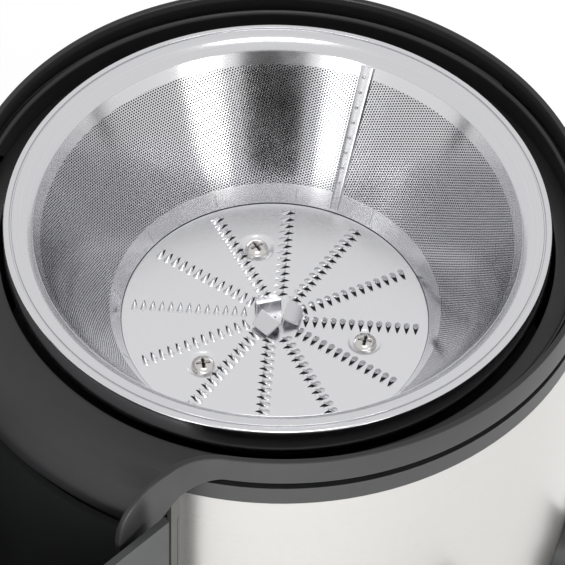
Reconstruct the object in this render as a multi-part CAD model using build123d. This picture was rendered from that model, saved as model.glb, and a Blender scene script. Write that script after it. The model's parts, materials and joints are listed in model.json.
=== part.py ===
"""Centrifugal juicer, lid off: motor base, juice bowl, filter basket and pulp container.

Millimetres, +Z up. The spout points along +X, the pulp container stands at -X and the
speed knob faces -Y. Shapes are drawn about the motor's axis and shifted by AXIS_X on
export, so that the origin is under the middle of the whole machine.
"""
import os
from math import cos, radians, sin, sqrt

from build123d import *

# ---- Driving dimensions -------------------------------------------------------------
BASKET_TOP = 240.0            # height of the basket rim above the table
BASKET_R = 84.0               # outer radius of the basket rim
MESH_TOP_R = 75.0             # filter cone, where it meets the rim
MESH_FOOT_R = 48.6            # filter cone, where it meets the hub
MESH_TOP_DROP = 3.0           # the cone's top below the rim's top
MESH_FOOT_DROP = 45.6         # the cone's foot below the rim's top
MESH_WALL = 0.6
DISC_R = 47.9                 # cutting disc
DISC_DROP = 46.1              # its upper face below the rim's top
DISC_WALL = 1.2
SCREW_CIRCLE_R = 29.7
SCREW_ANGLES = (70.6, 190.6, 310.6)
SCREW_HEAD_R = 3.5
TOOTH_ROWS = 12
TEETH_PER_ROW = 13
TOOTH_FIRST_R = 9.8
TOOTH_PITCH = 2.88
TOOTH_ROW_ANGLE = -4.8
BLADE_ANGLES = (-46.0, 74.0, 194.0)

RIM_R = 97.9                  # outer radius of the bowl's rim band
RIM_RISE = 2.4                # rim top above the basket's top
RIM_DROP = 6.0                # foot of the rim band below the basket's top
RIM_WALL = 2.0
LIP_R = 93.4                  # lip on the inner side of the lid groove
LIP_DROP = 3.3
GROOVE_DROP = 5.6
SHELF_R = 92.2                # outer edge of the sunk shelf
SHELF_DROP = 11.2
CHAMBER_R = 85.4              # bore of the juice chamber
WALL = 2.2                    # moulded wall thickness
MOUTH_HALF_ANGLE = 39.5       # pulp mouth, each side of -X
LIP_END_ANGLE = 136.5         # where the lip and its groove stop
FLANGE_START = (-68.4, 70.0)  # corner where the side flange leaves the rim circle
FLANGE_END = (-112.0, 78.3)
FLANGE_BLEND_R = 18.0
CHUTE_END_R = 106.0
CHUTE_DROP = 24.0

SLEEVE_R = 98.4               # outer radius of the steel sleeve and collar
SLEEVE_WALL = 0.8
SLEEVE_TOP = 225.0
SLEEVE_FOOT = 40.0
SLEEVE_END_ANGLE = 137.4
COLLAR_TOP = 232.0
DECK_Z = 160.0                # floor of the bowl's recess in the housing
RECESS_R = 88.5
SHOULDER_Z = 220.0            # ledge that carries the bowl

SPOUT_REACH = 130.0
SPOUT_HALF_WIDTH = 17.0
SPOUT_TOP = 206.0
SPOUT_FLOOR = 176.0

CONTAINER_REACH = 220.0
CONTAINER_HALF_WIDTH = 79.5
CONTAINER_FRONT = 83.5        # its front corners, towards the housing
CONTAINER_WALL = 2.4
CONTAINER_FOOT = 22.4
CONTAINER_EDGE_Z = 214.0      # level part of its upper edge
CONTAINER_FRONT_WALL_TOP = 206.0
CONTAINER_HOLLOW_R = 102.0    # concave front that nests round the housing
GRIP_REACH = 4.0              # finger rim, out from the container's back

FEET_H = 6.0
PLINTH_R = 101.5
PLATFORM_TOP = 22.0

SHAFT_R = 4.0
STATOR_HALF = 41.0
STACK = (80.0, 116.0)         # stator and armature laminations, foot and top
ARMATURE_R = 26.6
COUPLING_R = 9.0
RUNNING_CLEARANCE = 0.05

MOTOR_BOLT_R = 48.0
UPPER_BRACKET_Z = 132.0       # underside of the bracket above the stack
LOWER_BRACKET_Z = 44.0
BRUSH_Z = 63.0
COMMUTATOR_R = 13.0
FAN_Z = 28.0                  # underside of the fan's hub, about

CORD_Z = 24.0
COVER_SCREWS = ((81, 46), (81, -46), (-32, 87.5), (-32, -87.5), (-150, 55), (-150, -55))
FOOT_PLACES = ((70, 52), (70, -52), (-50, 73), (-50, -73), (-190, 48), (-190, -48))

KNOB_Z = 96.0
KNOB_R = 19.0
KNOB_TURN = 45.0              # the knob's place, turned from -Y towards the spout
CLAMP_PIVOT_Z = 154.0
CLAMP_PIVOT_Y = 104.0
CLAMP_REACH = 93.0            # pivot to the inside of the hook

AXIS_X = (CONTAINER_REACH + GRIP_REACH - SPOUT_REACH) / 2


# ---- Helpers ------------------------------------------------------------------------
def turned(points):
    """A solid of revolution about Z from a closed outline of (radius, height) points."""
    outline = Plane.XZ * make_face(Polyline(*points, close=True))
    return revolve(outline, axis=Axis.Z, revolution_arc=360)


def ring(outer_r, inner_r, foot, top):
    """A plain tube standing on a height."""
    return turned([(inner_r, foot), (outer_r, foot), (outer_r, top), (inner_r, top)])


def rod(radius, foot, top, x=0.0, y=0.0):
    """An upright solid cylinder."""
    height = top - foot
    return Pos(x, y, foot + height / 2) * Cylinder(radius, height)


def slab(x0, x1, y0, y1, z0, z1):
    """A box between two corners."""
    centre = Pos((x0 + x1) / 2, (y0 + y1) / 2, (z0 + z1) / 2)
    return centre * Box(x1 - x0, y1 - y0, z1 - z0)


def wedge(half_angle, middle_angle, foot, top, reach=260.0):
    """A vertical prism over the sector middle_angle +- half_angle, under 90 degrees each way."""
    far = reach / cos(radians(half_angle))
    left = Vector(far, 0, 0).rotate(Axis.Z, middle_angle + half_angle)
    right = Vector(far, 0, 0).rotate(Axis.Z, middle_angle - half_angle)
    face = make_face(Polyline((0, 0), (right.X, right.Y), (left.X, left.Y), close=True))
    return extrude(Pos(0, 0, foot) * face, top - foot)


def upright(face, foot, top):
    """A plan outline carried up between two heights."""
    return extrude(Pos(0, 0, foot) * face, top - foot)


def across(points, half_width):
    """A side outline of (x, z) points carried across the machine along Y."""
    outline = Plane.XZ * make_face(Polyline(*points, close=True))
    return extrude(outline, half_width, both=True)


def around(piece, angles):
    """Copies of a piece turned about Z."""
    return [Rot(0, 0, angle) * piece for angle in angles]


def group(pieces):
    """Identical loose pieces that share one node."""
    return Compound([solid for piece in pieces for solid in piece.solids()])


# ---- Filter basket ------------------------------------------------------------------
def basket_rim():
    """Turned steel rim with a fine groove, and a skirt outside."""
    z = BASKET_TOP
    profile = [(BASKET_R, z - 9.0), (BASKET_R, z - 0.9), (BASKET_R - 0.9, z), (82.1, z)]
    profile += [(81.9, z - 0.7)]
    profile += [(81.4, z - 0.7), (81.2, z), (79.4, z), (77.6, z - 1.0), (75.9, z - 2.5)]
    profile += [(MESH_TOP_R, z - MESH_TOP_DROP), (76.6, z - 5.0), (81.0, z - 5.0)]
    profile += [(82.8, z - 6.4), (82.8, z - 9.0)]
    return turned(profile)


def basket_mesh():
    """The filter cone, drawn as a thin plain wall without its perforation."""
    top = BASKET_TOP - MESH_TOP_DROP
    foot = BASKET_TOP - MESH_FOOT_DROP
    profile = [(MESH_TOP_R, top), (MESH_FOOT_R, foot)]
    profile += [(MESH_FOOT_R + MESH_WALL, foot), (MESH_TOP_R + 1.1, top - 1.4)]
    return turned(profile)


def basket_hub():
    """Moulded hub under the disc: a flange that grips the cone's foot, and a drive socket."""
    z = BASKET_TOP - DISC_DROP - DISC_WALL
    profile = [(COUPLING_R + 0.4, z - 14.0), (14.6, z - 14.0), (14.6, z - 4.0), (44.0, z - 4.0)]
    profile += [(51.6, z - 4.0), (51.6, z + 1.4), (50.6, z + 3.0), (49.5, z + 1.8)]
    profile += [(48.5, z + 0.4), (48.5, z), (COUPLING_R + 0.4, z)]
    hub = turned(profile)
    for angle in range(0, 360, 60):
        hub += Rot(0, 0, angle + 40) * slab(14.0, 44.5, -1.0, 1.0, z - 5.8, z - 3.9)
    for angle in SCREW_ANGLES:
        hub -= Rot(0, 0, angle) * rod(1.7, z - 3.0, z + 0.1, x=SCREW_CIRCLE_R)
    return hub


def tooth():
    """One raised grating tooth: a low ramp that ends in a point over its slot."""
    length = 3.4
    base = Pos(0, 0, 0) * make_face(Polyline((-1.0, 0), (1.0, 0), (0, -length), close=True))
    ramp = extrude(base, 1.3)
    cut = Plane.YZ * make_face(Polyline((0.2, 0.25), (-length - 0.2, 1.35), (0.2, 2.4), close=True))
    return ramp - extrude(cut, 2.0, both=True)


def scoop_blade():
    """One of the folded blades at the middle of the disc."""
    side = Plane.XZ * make_face(Polyline((0, 0), (7.6, 0), (7.6, 3.8), (6.6, 3.8), (0, 0.8), close=True))
    return Pos(1.2, 1.4, 0) * extrude(side, 2.4, both=True)


def cutting_disc():
    """Grating disc: twelve rows of teeth, three countersunk screw seats, folded blades."""
    z = BASKET_TOP - DISC_DROP
    disc = rod(DISC_R, z - DISC_WALL, z)
    seat = rod(1.8, z - DISC_WALL - 0.1, z + 0.1, x=SCREW_CIRCLE_R)
    seat += Pos(SCREW_CIRCLE_R, 0, z - 0.3) * Cone(SCREW_HEAD_R + 0.1, SCREW_HEAD_R + 0.9, 0.6)
    raised = []
    for row in range(TOOTH_ROWS):
        angle = TOOTH_ROW_ANGLE + row * 360 / TOOTH_ROWS
        for step in range(TEETH_PER_ROW):
            radius = TOOTH_FIRST_R + step * TOOTH_PITCH
            near_seat = any(
                (Vector(radius, 0, 0).rotate(Axis.Z, angle)
                 - Vector(SCREW_CIRCLE_R, 0, 0).rotate(Axis.Z, seat_angle)).length < 6.2
                for seat_angle in SCREW_ANGLES)
            if not near_seat:
                raised.append(Rot(0, 0, angle) * Pos(radius, 0, z - 0.05) * tooth())
    raised += [Rot(0, 0, angle) * Pos(0, 0, z - 0.05) * scoop_blade() for angle in BLADE_ANGLES]
    return disc - around(seat, SCREW_ANGLES) + raised


def disc_screws():
    """Three cross-recess screws that hold the disc to the hub."""
    z = BASKET_TOP - DISC_DROP - 0.6
    head = Pos(0, 0, z) * (Cylinder(SCREW_HEAD_R, 1.0, align=(Align.CENTER, Align.CENTER, Align.MIN)))
    dome = Pos(0, 0, z + 1.0) * Cone(SCREW_HEAD_R, SCREW_HEAD_R - 1.3, 0.9,
                                    align=(Align.CENTER, Align.CENTER, Align.MIN))
    screw = head + dome + rod(1.5, z - 3.4, z)
    recess = slab(-2.0, 2.0, -0.45, 0.45, z + 0.8, z + 2.2)
    screw -= recess + Rot(0, 0, 90) * recess
    return group(around(Pos(SCREW_CIRCLE_R, 0, 0) * screw, SCREW_ANGLES))


# ---- Juice bowl ---------------------------------------------------------------------
def rim_outline():
    """Plan of the rim: a circle that opens into two slightly splayed flanges at -X."""
    corner = Vector(FLANGE_START[0], -FLANGE_START[1])
    end = Vector(FLANGE_END[0], -FLANGE_END[1])
    along = (end - corner).normalized()
    outward = Vector(-along.Y, along.X)
    base = corner + outward * FLANGE_BLEND_R
    reach = RIM_R + FLANGE_BLEND_R
    slide = sqrt(base.dot(along) ** 2 + reach ** 2 - base.dot(base)) - base.dot(along)
    centre = base + along * slide
    on_circle = centre * (RIM_R / reach)
    on_side = centre - outward * FLANGE_BLEND_R
    bisector = ((on_circle - centre) + (on_side - centre)).normalized()
    middle = centre + bisector * FLANGE_BLEND_R

    def mirrored(point):
        return Vector(point.X, -point.Y)

    edges = [ThreePointArc(mirrored(on_circle), (RIM_R, 0), on_circle)]
    edges += [ThreePointArc(on_circle, middle, on_side), Line(on_side, end)]
    edges += [Line(end, mirrored(end)), Line(mirrored(end), mirrored(on_side))]
    edges += [ThreePointArc(mirrored(on_side), mirrored(middle), mirrored(on_circle))]
    return make_face(Wire(edges))


def flange_side():
    """Side outline of the rim band: level, then bent down to a point at the mouth's end."""
    top = BASKET_TOP + RIM_RISE
    foot = BASKET_TOP - RIM_DROP
    points = [(110, foot), (-64, foot), (-69.6, foot - 1.8), (-76, foot - 4.6)]
    points += [(-84, foot - 9.6), (-96.4, foot - 15.6), (-97.4, foot - 14.0)]
    bend = 17.0
    for angle in range(90, -1, -10):
        x = -80.4 - bend * sin(radians(angle))
        points.append((x, top - bend * (1 - cos(radians(angle)))))
    points.append((110, top))
    return across(points, 120)


def bowl_profile():
    """Sunk shelf and lip, juice chamber, sloping floor and the tube round the drive."""
    z = BASKET_TOP
    profile = [(CHAMBER_R, z - SHELF_DROP + 1.0), (SHELF_R, z - SHELF_DROP), (92.6, z - 3.6)]
    profile += [(LIP_R, z - LIP_DROP), (LIP_R, z - GROOVE_DROP), (95.5, z - GROOVE_DROP)]
    profile += [(95.5, SHOULDER_Z + 2.4), (CHAMBER_R + WALL, SHOULDER_Z + 2.4)]
    profile += [(CHAMBER_R + WALL, 172.0), (60.0, 170.0), (17.0, 174.0), (17.0, 168.6)]
    profile += [(15.4, 168.6), (15.4, 185.8), (17.6, 185.8), (17.6, 177.0), (24.0, 177.0)]
    profile += [(60.0, 172.4), (CHAMBER_R, 174.6)]
    return turned(profile)


def chute_floor():
    """Floor of the pulp mouth: from the shelf down to a drop edge behind the housing."""
    z = BASKET_TOP
    profile = [(CHAMBER_R + 1.0, z - SHELF_DROP - WALL), (CHAMBER_R + 1.0, z - SHELF_DROP + 0.8)]
    profile += [(SHELF_R, z - SHELF_DROP), (97.5, z - 13.4), (102.0, z - 18.0)]
    profile += [(CHUTE_END_R, z - CHUTE_DROP), (CHUTE_END_R, z - CHUTE_DROP - WALL)]
    profile += [(101.0, z - 21.4), (96.6, z - 16.6)]
    return turned(profile) & wedge(MOUTH_HALF_ANGLE + 1.6, 180, 190, 260)


def juice_bowl():
    """The whole moulding, with a duct for the spout and a mouth towards the container."""
    z = BASKET_TOP
    outline = rim_outline()
    inner = offset(outline, -RIM_WALL)
    middle = offset(outline, -RIM_WALL / 2)
    band = upright(outline, z - 24.0, z + RIM_RISE) - upright(inner, z - 25.0, z + 4.0)
    band = band & flange_side()
    behind = wedge(180 - LIP_END_ANGLE, 180, z - 10.6, z + 20.0)
    body = bowl_profile() - (behind - rod(90.0, z - 20.0, z + 30.0))
    web = upright(middle, z - 7.0, z - GROOVE_DROP + 0.4) - rod(94.5, z - 10.0, z + 10.0)
    ledge = upright(middle, z - 7.8, z - 5.0) - rod(93.0, z - 20.0, z + 10.0)
    floor = web + (ledge & behind) - slab(-260, -98.0, -90, 90, 190, 260)
    body += band
    body += floor - wedge(MOUTH_HALF_ANGLE, 180, 190, 262)
    mouth = wedge(MOUTH_HALF_ANGLE, 180, z - 12.5, z + 20.0) & upright(inner, 190, 262)
    body -= mouth - rod(CHAMBER_R, 150, 262)
    body += chute_floor() & upright(middle, 190, 262)
    shield = ring(98.3, 96.4, SPOUT_FLOOR - 6.0, z - 6.6) + ring(97.3, 94.5, z - 15.0, z - 4.8)
    body += shield & spout_gap(19.6, 160)
    body += slab(CHAMBER_R + 0.5, 96.6, -17.2, 17.2, SPOUT_FLOOR - 6.0, SPOUT_TOP)
    return body - slab(82, 110, -15.2, 15.2, SPOUT_FLOOR - 1.2, SPOUT_TOP - 2.4)


def juice_spout():
    """Open-ended nozzle that clips to the bowl and turns the juice down."""
    half = SPOUT_HALF_WIDTH
    outer = [(95.0, SPOUT_FLOOR - 7.0), (95.0, SPOUT_TOP + 1.0), (118, SPOUT_TOP - 1.0)]
    outer += [(126.5, SPOUT_TOP - 6.5), (SPOUT_REACH, SPOUT_TOP - 16.0), (SPOUT_REACH, 158.0)]
    outer += [(112.0, 158.0), (109.0, SPOUT_FLOOR - 8.0)]
    hollow = [(90.0, SPOUT_FLOOR - 1.6), (90.0, SPOUT_TOP - 2.4), (117, SPOUT_TOP - 3.4)]
    hollow += [(124.6, SPOUT_TOP - 8.6), (SPOUT_REACH - 2.2, SPOUT_TOP - 17.0), (SPOUT_REACH - 2.2, 150)]
    hollow += [(114.2, 150.0), (111.0, SPOUT_FLOOR - 5.0)]
    spout = across(outer, half)
    edges = spout.edges().filter_by(Axis.Y, reverse=True)
    spout = fillet([e for e in edges if e.center().Z > SPOUT_TOP - 12 and e.center().X > 100], 2.0)
    return spout - across(hollow, half - 2.2) - rod(98.3, 100, 250)


# ---- Motor base ---------------------------------------------------------------------
def spout_gap(half_width, foot):
    """Everything over the spout in the housing's wall."""
    return slab(60, 120, -half_width, half_width, foot, 250)


def bracket_slot(side):
    """Slot for the foot of a clamp bracket."""
    y = side * SLEEVE_R
    return slab(-5, 5, y - 6, y + 6, CLAMP_PIVOT_Z - 4, CLAMP_PIVOT_Z + 4)


def housing():
    """Inner body: outer wall, ledge and recess for the bowl, and the motor deck."""
    r = SLEEVE_R - SLEEVE_WALL - 0.15
    profile = [(r, SLEEVE_FOOT), (r, SHOULDER_Z + 2.0), (RECESS_R, SHOULDER_Z + 2.0)]
    profile += [(RECESS_R, DECK_Z + 3.0), (13.0, DECK_Z + 3.0), (13.0, DECK_Z + 7.6)]
    profile += [(9.2, DECK_Z + 7.6), (9.2, DECK_Z), (RECESS_R + 2.4, DECK_Z)]
    profile += [(RECESS_R + 2.4, SHOULDER_Z - 0.6), (r - 2.4, SHOULDER_Z - 0.6), (r - 2.4, SLEEVE_FOOT)]
    body = turned(profile)
    body -= spout_gap(20.2, SPOUT_FLOOR - 9.0)
    body -= wedge(180 - SLEEVE_END_ANGLE, 180, 217.0, 260.0) - rod(92, 150, 260)
    for angle in (45, 135, 225, 315):
        body += Rot(0, 0, angle) * rod(6.0, DECK_Z - 8.0, DECK_Z + 0.5, x=MOTOR_BOLT_R)
        body -= Rot(0, 0, angle) * rod(2.2, DECK_Z - 9.0, DECK_Z - 2.0, x=MOTOR_BOLT_R)
    body -= Rot(0, 0, KNOB_TURN) * Pos(0, -(SLEEVE_R - 2), KNOB_Z) * Rot(90, 0, 0) * Cylinder(6.0, 14.0)
    for side in (-1, 1):
        body -= bracket_slot(side)
    return body


def housing_collar():
    """Ring that closes the top of the sleeve, open at the mouth and at the spout."""
    collar = ring(SLEEVE_R, 96.0, SLEEVE_TOP, COLLAR_TOP)
    collar += ring(SLEEVE_R - SLEEVE_WALL - 0.15, 96.0, SHOULDER_Z + 2.0, SLEEVE_TOP + 0.5)
    collar -= wedge(180 - SLEEVE_END_ANGLE, 180, 200, 260)
    return collar - spout_gap(20.2, 160)


def steel_sleeve():
    """Brushed steel wrap, open at the back where the dock panel stands."""
    sleeve = ring(SLEEVE_R, SLEEVE_R - SLEEVE_WALL, SLEEVE_FOOT, SLEEVE_TOP)
    sleeve -= wedge(180 - SLEEVE_END_ANGLE, 180, 0, 260)
    sleeve -= spout_gap(20.4, SPOUT_FLOOR - 9.0)
    sleeve -= Rot(0, 0, KNOB_TURN) * Pos(0, -SLEEVE_R, KNOB_Z) * Rot(90, 0, 0) * Cylinder(6.2, 20.0)
    for side in (-1, 1):
        sleeve -= bracket_slot(side)
    return sleeve


def dock_panel():
    """Moulded back panel between the sleeve's two edges, with a fin each side."""
    panel = ring(100.4, SLEEVE_R - SLEEVE_WALL - 0.1, SLEEVE_FOOT, 214.0)
    panel = panel & wedge(180 - SLEEVE_END_ANGLE, 180, 0, 260)
    edge = Vector(SLEEVE_R, 0, 0).rotate(Axis.Z, SLEEVE_END_ANGLE)
    for side in (-1, 1):
        outline = [(edge.X, side * edge.Y), (-78.0, side * 71.2), (-79.6, side * 69.4)]
        outline += [(-74.4, side * (edge.Y - 2.0))]
        panel += upright(make_face(Polyline(*outline, close=True)), SLEEVE_FOOT, 226.4)
    return panel - wedge(MOUTH_HALF_ANGLE + 2.2, 180, 213.8, 260)


def platform_plan(reach, half_width, corner):
    """Plan of the tail that carries the pulp container, rounded at its far end."""
    tail = Pos(-reach / 2, 0) * Rectangle(reach, 2 * half_width)
    far = [v for v in tail.vertices() if v.X < -reach / 2]
    return fillet(far, corner)


def plinth():
    """Foot of the base with the platform that the pulp container stands on."""
    body = rod(PLINTH_R, FEET_H, SLEEVE_FOOT)
    body = fillet(body.edges().filter_by(GeomType.CIRCLE).group_by(Axis.Z)[-1], 2.0)
    body += upright(platform_plan(214.0, 74.0, 40.0), FEET_H, PLATFORM_TOP)
    body -= rod(PLINTH_R - 3.0, FEET_H - 1, SLEEVE_FOOT - 3.0)
    body -= upright(platform_plan(211.0, 71.0, 37.0), FEET_H - 1, PLATFORM_TOP - 3.0)
    body -= rod(90.0, SLEEVE_FOOT - 4, SLEEVE_FOOT + 1)
    body -= Pos(0, PLINTH_R, CORD_Z) * Rot(90, 0, 0) * Cylinder(7.2, 20.0)
    for x, y in COVER_SCREWS:
        ceiling = PLATFORM_TOP if x < -PLINTH_R else SLEEVE_FOOT
        body += rod(4.5, FEET_H + 3.0, ceiling - 2.0, x, y)
        body -= rod(1.6, FEET_H, PLATFORM_TOP - 4.0, x, y)
    return body


def bottom_cover():
    """Flat cover under the plinth, with a fan of air slots below the motor."""
    plan = Circle(PLINTH_R - 3.3) + platform_plan(210.7, 70.7, 36.7)
    cover = upright(plan, FEET_H, FEET_H + 2.8)
    slots = []
    for angle in range(0, 360, 20):
        for radius, length in ((34.0, 14.0), (56.0, 16.0)):
            slots.append(Rot(0, 0, angle) * slab(radius - length / 2, radius + length / 2,
                                                 -1.8, 1.8, 0, FEET_H + 4))
    cover -= slots
    for x, y in COVER_SCREWS:
        cover -= rod(1.9, 0, FEET_H + 4, x, y)
        cover -= rod(3.4, FEET_H - 1, FEET_H + 1.6, x, y)
    return cover


def cover_screws():
    """Pan-head screws of the bottom cover."""
    screws = []
    for x, y in COVER_SCREWS:
        screws.append(rod(3.1, FEET_H + 0.1, FEET_H + 1.6, x, y) + rod(1.5, FEET_H, FEET_H + 11.0, x, y))
    return group(screws)


def rubber_feet():
    """Six round feet with a slight taper."""
    feet = []
    for x, y in FOOT_PLACES:
        foot = Pos(x, y, 0) * Cone(8.0, 9.2, FEET_H, align=(Align.CENTER, Align.CENTER, Align.MIN))
        feet.append(foot)
    return group(feet)


def cord_inlet():
    """Flanged grommet in the back of the plinth, where a mains lead would enter."""
    body = Cylinder(7.0, 8.0) + Pos(0, 0, -4.6) * Cylinder(10.0, 2.4)
    body = body - Cylinder(3.9, 30.0)
    return Pos(0, PLINTH_R - 2.0, CORD_Z) * Rot(90, 0, 0) * body


def cord_clamp():
    """Bar inside the plinth that would grip the lead."""
    return slab(-12, 12, 76, 82, CORD_Z - 8, CORD_Z - 3) + slab(-12, 12, 76, 82, CORD_Z + 3, CORD_Z + 8) \
        + slab(-12, -6, 76, 82, CORD_Z - 8, CORD_Z + 8) + slab(6, 12, 76, 82, CORD_Z - 8, CORD_Z + 8)


# ---- Motor and drive ----------------------------------------------------------------
def motor_stator():
    """Laminated field stack: chamfered square with a bore and two pole pockets."""
    foot, top = STACK
    outer = Rectangle(2 * STATOR_HALF, 2 * STATOR_HALF)
    outer = chamfer(outer.vertices(), 8)
    stack = upright(outer, foot, top) - rod(ARMATURE_R + 0.7, foot - 1, top + 1)
    for side in (-1, 1):
        pocket = slab(-22, 22, 27.5 * side - 5.5, 27.5 * side + 5.5, foot - 1, top + 1)
        stack -= pocket - rod(ARMATURE_R + 3.4, foot - 2, top + 2)
    for angle in (45, 135, 225, 315):
        stack -= Rot(0, 0, angle) * rod(2.3, foot - 1, top + 1, x=MOTOR_BOLT_R)
    return stack


def field_coils():
    """Two copper coils, one round each pole, standing out above and below the stack."""
    foot, top = STACK
    coils = []
    for side in (-1, 1):
        y0, y1 = sorted((side * 30.6, side * 32.8))
        outer = slab(-21.5, 21.5, y0, y1, foot - 7, top + 7)
        coils.append(outer - slab(-17.5, 17.5, -40, 40, foot - 0.2, top + 0.2))
    return group(coils)


def end_bracket(foot, hub_top, bearing_foot):
    """Cast bracket: cross arms, bolt eyes and a seat for one bearing."""
    plate = rod(16.0, foot, foot + 4.0)
    for angle in (45, 135, 225, 315):
        arm = Rot(0, 0, angle) * slab(8, MOTOR_BOLT_R, -6.0, 6.0, foot, foot + 4.0)
        plate += arm + Rot(0, 0, angle) * rod(6.0, foot, foot + 4.0, x=MOTOR_BOLT_R)
    plate += rod(14.0, min(foot, bearing_foot - 1.5), hub_top)
    plate -= rod(11.0, bearing_foot, bearing_foot + 7.0)
    plate -= rod(6.0, foot - 30, hub_top + 30)
    for angle in (45, 135, 225, 315):
        plate -= Rot(0, 0, angle) * rod(2.3, foot - 1, foot + 9, x=MOTOR_BOLT_R)
    return plate


def upper_bracket():
    """End bracket above the stack; its bearing seat opens upwards."""
    return end_bracket(UPPER_BRACKET_Z, UPPER_BRACKET_Z + 9.0, UPPER_BRACKET_Z + 2.0)


def lower_bracket():
    """End bracket below the commutator; its bearing seat opens upwards."""
    return end_bracket(LOWER_BRACKET_Z, LOWER_BRACKET_Z + 9.0, LOWER_BRACKET_Z + 2.0)


def ball_bearing(foot):
    """A sealed ball bearing, drawn as one sleeve round the shaft."""
    body = ring(11.0, SHAFT_R + RUNNING_CLEARANCE, foot, foot + 7.0)
    for z0, z1 in ((foot, foot + 0.6), (foot + 6.4, foot + 7.0)):
        body -= ring(9.2, 6.2, z0 - 0.01, z1 + 0.01)
    return body


def upper_bearing():
    """Bearing above the armature."""
    return ball_bearing(UPPER_BRACKET_Z + 2.0)


def lower_bearing():
    """Bearing below the commutator."""
    return ball_bearing(LOWER_BRACKET_Z + 2.0)


def motor_spacers():
    """Four tubes that hold the brackets off the stack."""
    foot, top = STACK
    tubes = []
    for angle in (45, 135, 225, 315):
        for z0, z1 in ((LOWER_BRACKET_Z + 4.0, foot), (top, UPPER_BRACKET_Z)):
            tube = rod(4.5, z0, z1, x=MOTOR_BOLT_R) - rod(2.3, z0 - 1, z1 + 1, x=MOTOR_BOLT_R)
            tubes.append(Rot(0, 0, angle) * tube)
    return group(tubes)


def motor_bolts():
    """Four long bolts through brackets and stack, up into the deck's bosses."""
    bolts = []
    for angle in (45, 135, 225, 315):
        bolt = rod(2.1, LOWER_BRACKET_Z - 0.1, DECK_Z - 3.0, x=MOTOR_BOLT_R)
        bolt += rod(4.0, LOWER_BRACKET_Z - 3.0, LOWER_BRACKET_Z, x=MOTOR_BOLT_R)
        bolts.append(Rot(0, 0, angle) * bolt)
    return group(bolts)


def motor_mounts():
    """Rubber bushes between the upper bracket and the deck's bosses."""
    foot = UPPER_BRACKET_Z + 4.0
    mounts = []
    for angle in (45, 135, 225, 315):
        bush = rod(6.0, foot, DECK_Z - 8.0, x=MOTOR_BOLT_R) - rod(2.3, foot - 1, DECK_Z, x=MOTOR_BOLT_R)
        mounts.append(Rot(0, 0, angle) * bush)
    return group(mounts)


def brush_holders():
    """Two insulated boxes aimed at the commutator, hung from the lower bracket's arms."""
    holders = []
    for side in (-1, 1):
        x0, x1 = sorted((side * 15.0, side * 36.0))
        box = slab(x0, x1, -5.4, 5.4, BRUSH_Z - 6.4, BRUSH_Z + 6.4)
        x0, x1 = sorted((side * 14.0, side * 33.5))
        box -= slab(x0, x1, -3.3, 3.3, BRUSH_Z - 4.3, BRUSH_Z + 4.3)
        post = slab(side * 26.0 - 3, side * 26.0 + 3, -5.4, 5.4, LOWER_BRACKET_Z + 8, BRUSH_Z - 6.3)
        foot = slab(side * 26.0 - 3, side * 26.0 + 3, -30, 30, LOWER_BRACKET_Z + 4.0, LOWER_BRACKET_Z + 8)
        holders.append(box + post + foot)
    return group(holders)


def carbon_brushes():
    """Two carbon blocks that run on the commutator."""
    brushes = []
    for side in (-1, 1):
        x0, x1 = sorted((side * (COMMUTATOR_R + 0.15), side * 27.0))
        brushes.append(slab(x0, x1, -3.1, 3.1, BRUSH_Z - 4.1, BRUSH_Z + 4.1))
    return group(brushes)


def motor_shaft():
    """Ground steel shaft from the fan to the drive coupling."""
    return rod(SHAFT_R, FAN_Z - 4.0, DECK_Z + 24.0)


def armature_core():
    """Slotted laminations on the shaft."""
    foot, top = STACK
    core = rod(ARMATURE_R, foot, top) - rod(SHAFT_R, foot - 1, top + 1)
    slots = [Rot(0, 0, angle) * slab(16.0, 25.0, -1.7, 1.7, foot - 1, top + 1)
             for angle in range(0, 360, 30)]
    throats = [Rot(0, 0, angle) * slab(24.5, 28.0, -0.9, 0.9, foot - 1, top + 1)
               for angle in range(0, 360, 30)]
    return core - slots - throats


def armature_windings():
    """Copper end turns above and below the core."""
    foot, top = STACK
    lower = turned([(8.0, foot - 9.0), (19.0, foot - 9.0), (22.6, foot - 5.0), (22.6, foot), (8.0, foot)])
    upper = turned([(8.0, top), (22.6, top), (22.6, top + 5.0), (19.0, top + 8.5), (8.0, top + 8.5)])
    return group([lower, upper])


def commutator():
    """Copper drum cut into bars."""
    foot = STACK[0] - 24.0
    drum = ring(COMMUTATOR_R, SHAFT_R, foot, foot + 14.5)
    drum += ring(COMMUTATOR_R + 1.2, SHAFT_R, foot + 12.5, foot + 14.5)
    cuts = [Rot(0, 0, angle) * slab(COMMUTATOR_R - 0.8, COMMUTATOR_R + 2, -0.3, 0.3, foot - 1, foot + 16)
            for angle in range(0, 360, 15)]
    return drum - cuts


def cooling_fan():
    """Radial fan under the motor that draws air through the bottom cover."""
    hub = ring(9.0, SHAFT_R, FAN_Z - 2.0, FAN_Z + 10.0)
    disc = ring(40.0, SHAFT_R, FAN_Z + 8.0, FAN_Z + 10.0)
    blades = [Rot(0, 0, angle) * Pos(24, 0, 0) * Rot(0, 0, 24)
              * slab(-14.5, 14.5, -0.8, 0.8, FAN_Z - 2.0, FAN_Z + 8.1) for angle in range(0, 360, 36)]
    return hub + disc + blades


def drive_coupling():
    """Splined hub on the shaft that the basket drops on to."""
    foot = DECK_Z + 8.2
    body = ring(COUPLING_R, SHAFT_R, foot, DECK_Z + 26.0) + rod(SHAFT_R + 1, DECK_Z + 24.0, DECK_Z + 26.0)
    body += ring(8.8, SHAFT_R, foot - 0.2, foot + 2.0)
    flutes = [Rot(0, 0, angle) * rod(1.3, foot + 3.0, DECK_Z + 30.0, x=COUPLING_R + 0.5)
              for angle in range(0, 360, 30)]
    return body - flutes


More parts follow.
